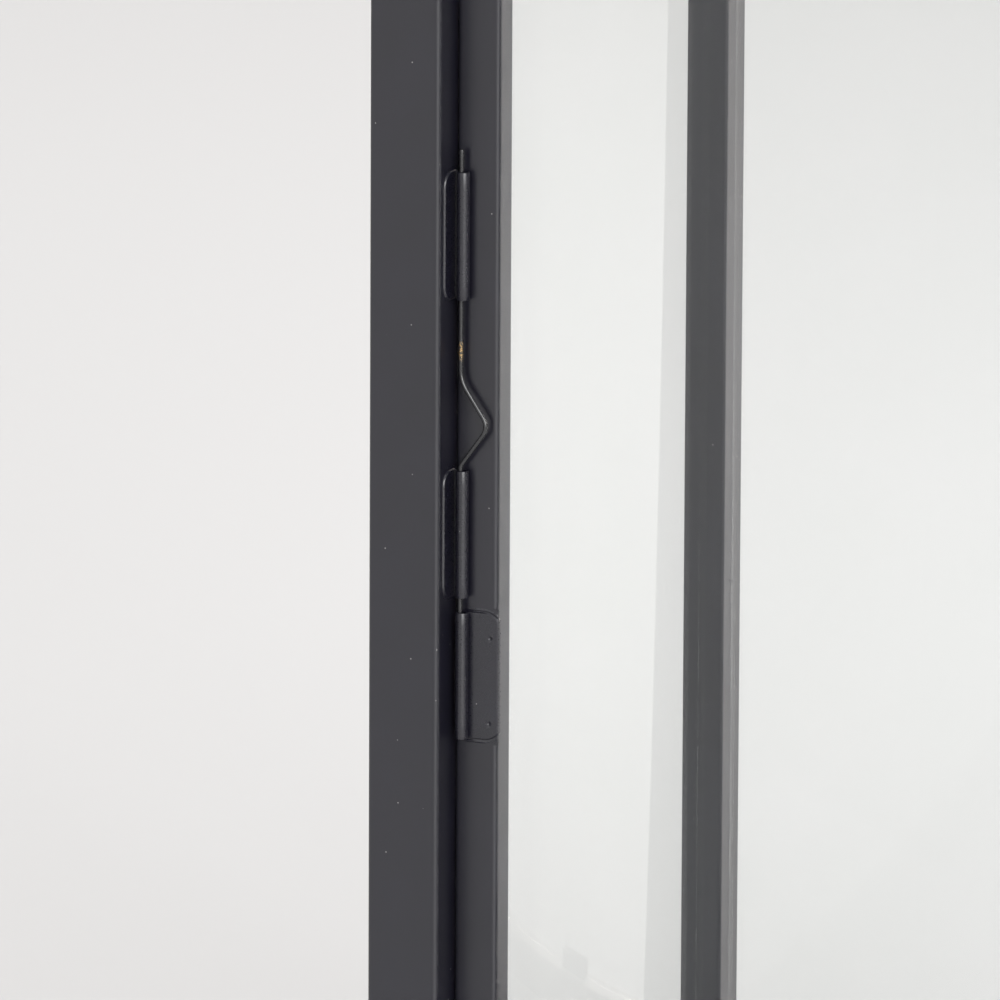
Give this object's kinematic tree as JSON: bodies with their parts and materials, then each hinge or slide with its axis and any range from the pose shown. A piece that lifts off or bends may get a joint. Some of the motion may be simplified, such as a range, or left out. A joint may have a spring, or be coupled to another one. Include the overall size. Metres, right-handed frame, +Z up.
{
  "type": "lantern floor lamp",
  "caption": "Square black metal floor lantern with clear panes, a hinged glazed door on lift-out wire pins, a hipped vented roof and a carry handle.",
  "frame": {"origin": "on the floor, below the middle of the body", "axes": "+Z up, -Y out of the door, -X towards the door hinges"},
  "size_m": [0.294, 0.294, 1.0869],
  "materials": {
    "frame_paint": "black powder coat, semi-matt",
    "hinge_paint": "black powder coat, semi-matt",
    "clip_paint": "black powder coat, semi-matt",
    "pin_wire": "black paint worn to bare wire where it rubs",
    "zinc_steel": "zinc-plated",
    "clear_glass": "clear float glass",
    "bulb_glass": "clear blown glass",
    "rubber": "matt",
    "black_plastic": "matt moulded",
    "white_plastic": "moulded",
    "ceramic": "glazed ceramic",
    "magnet": "ground ferrite",
    "cap_metal": "threaded cap, satin",
    "filament": "coated filaments on a glass mount",
    "lead_sheath": "extruded sheath"
  },
  "bodies": {
    "lantern_body": {"bottom_cover": "frame_paint", "bottom_rail_back": "frame_paint", "bottom_rail_front": "frame_paint", "bottom_rail_left": "frame_paint", "bottom_rail_right": "frame_paint", "cable_gland": "black_plastic", "catch_case": "black_plastic", "catch_magnet": "magnet", "foot_screws": "zinc_steel", "gland_nut": "black_plastic", "handle_lug_left": "frame_paint", "handle_lug_right": "frame_paint", "handle_rivets": "frame_paint", "hinge_lower_middle_knuckle": "hinge_paint", "hinge_lower_top_knuckle": "hinge_paint", "hinge_upper_middle_knuckle": "hinge_paint", "hinge_upper_top_knuckle": "hinge_paint", "holder_cap": "black_plastic", "holder_insert": "ceramic", "holder_skirt": "black_plastic", "inner_lead": "lead_sheath", "pane_back": "clear_glass", "pane_clips": "clip_paint", "pane_left": "clear_glass", "pane_right": "clear_glass", "plinth_tray": "frame_paint", "post_back_left": "frame_paint", "post_back_right": "frame_paint", "post_front_left": "frame_paint", "post_front_right": "frame_paint", "roof_cap": "frame_paint", "roof_screws": "zinc_steel", "roof_shell": "frame_paint", "rubber_feet": "rubber", "stem": "frame_paint", "stem_nuts": "zinc_steel", "terminal_block": "white_plastic", "top_plate": "frame_paint", "top_rail_back": "frame_paint", "top_rail_front": "frame_paint", "top_rail_left": "frame_paint", "top_rail_right": "frame_paint", "vent_collar": "frame_paint"},
    "door": {"door_clip_screws": "zinc_steel", "door_glass": "clear_glass", "door_glass_clips": "clip_paint", "door_knob": "frame_paint", "door_rail_bottom": "frame_paint", "door_rail_top": "frame_paint", "door_stile_hinge": "frame_paint", "door_stile_latch": "frame_paint", "hinge_lower_door_knuckle": "hinge_paint", "hinge_upper_door_knuckle": "hinge_paint", "strike_plate": "zinc_steel"},
    "lower_pin": {"hinge_lower_pin": "pin_wire"},
    "upper_pin": {"hinge_upper_pin": "pin_wire"},
    "carry_handle": {"carry_handle": "frame_paint"},
    "bulb": {"bulb_cap": "cap_metal", "bulb_glass": "bulb_glass", "bulb_filaments": "filament"}
  },
  "joints": [
    {"name": "door_swing", "type": "hinge", "parent": "lantern_body", "child": "door", "pos_m": [-0.1029, -0.1224, 0.467], "axis": [0, 0, -1], "range_deg": [0, 95]},
    {"name": "lower_pin_lift", "type": "slide", "parent": "door", "child": "lower_pin", "axis": [0, 0, 1], "range_m": [0, 0.023]},
    {"name": "upper_pin_lift", "type": "slide", "parent": "door", "child": "upper_pin", "axis": [0, 0, 1], "range_m": [0, 0.023]},
    {"name": "handle_swing", "type": "hinge", "parent": "lantern_body", "child": "carry_handle", "pos_m": [0, 0, 0.97288], "axis": [1, 0, 0], "range_deg": [-80, 80]},
    {"name": "bulb_turn", "type": "hinge", "parent": "lantern_body", "child": "bulb", "pos_m": [0, 0, 0.65], "axis": [0, 0, 1], "continuous": true}
  ]
}
